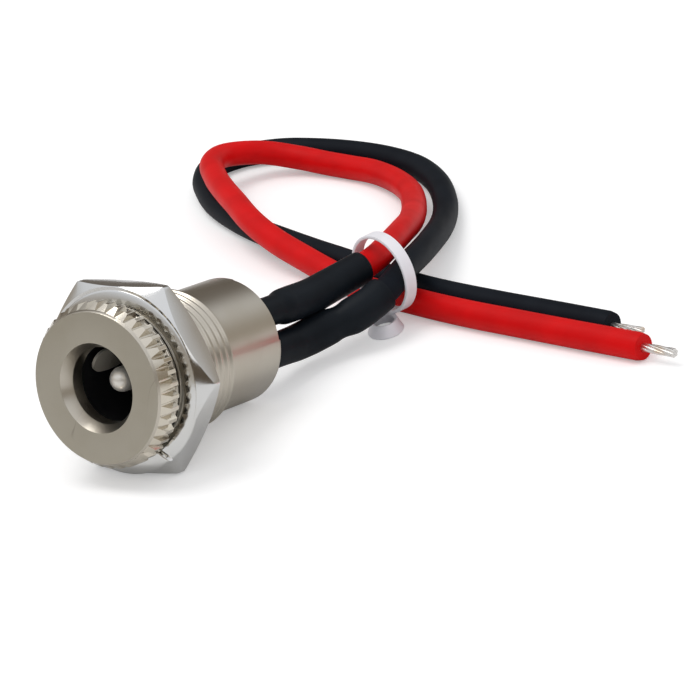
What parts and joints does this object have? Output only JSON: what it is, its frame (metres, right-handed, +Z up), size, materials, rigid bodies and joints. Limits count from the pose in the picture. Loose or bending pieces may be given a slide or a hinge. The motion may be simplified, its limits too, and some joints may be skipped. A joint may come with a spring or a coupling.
{
  "type": "dc barrel jack",
  "caption": "Panel-mount DC barrel jack: turned threaded housing with a knurled flange, hex nut, centre pin and leaf contact, and two soldered leads gathered in a loop by a tie.",
  "frame": {"origin": "on the jack's axis, in the plane of the flange's rear face, which is the face that meets the panel", "axes": "+Z up from the surface the jack lies on, +Y level and from the plug opening towards the rear of the jack, +X level and across the jack. The jack's axis is tilted nose-up by 10.9 degrees about X, because the jack lies on the back edge of its nut and on the rim of its skirt"},
  "size_m": [0.0736, 0.0727, 0.0157],
  "materials": {
    "housing_nickel": "satin",
    "nut_nickel": "polished",
    "pin_nickel": "polished",
    "tinned_sheet": "satin",
    "tinned_copper": "satin",
    "solder": "satin",
    "black_moulding": "satin",
    "black_shrink": "satin",
    "red_insulation": "satin",
    "black_insulation": "satin",
    "white_band": "satin"
  },
  "bodies": {
    "jack": {"housing": "housing_nickel", "insulator_body": "black_moulding", "centre_pin": "pin_nickel", "sleeve_contact": "tinned_sheet", "centre_terminal": "tinned_sheet", "rear_plug": "black_moulding", "red_joint_core": "tinned_copper", "black_joint_core": "tinned_copper", "red_solder": "solder", "black_solder": "solder", "red_sleeve": "black_shrink", "black_sleeve": "black_shrink", "red_wire": "red_insulation", "black_wire": "black_insulation", "red_bare_end": "tinned_copper", "black_bare_end": "tinned_copper", "wire_tie": "white_band"},
    "nut": {"panel_nut": "nut_nickel"}
  },
  "joints": [
    {"name": "nut_travel", "type": "slide", "parent": "jack", "child": "nut", "axis": [0, 0.9818, -0.1899], "range_m": [-0.00075, 0.0056]}
  ]
}
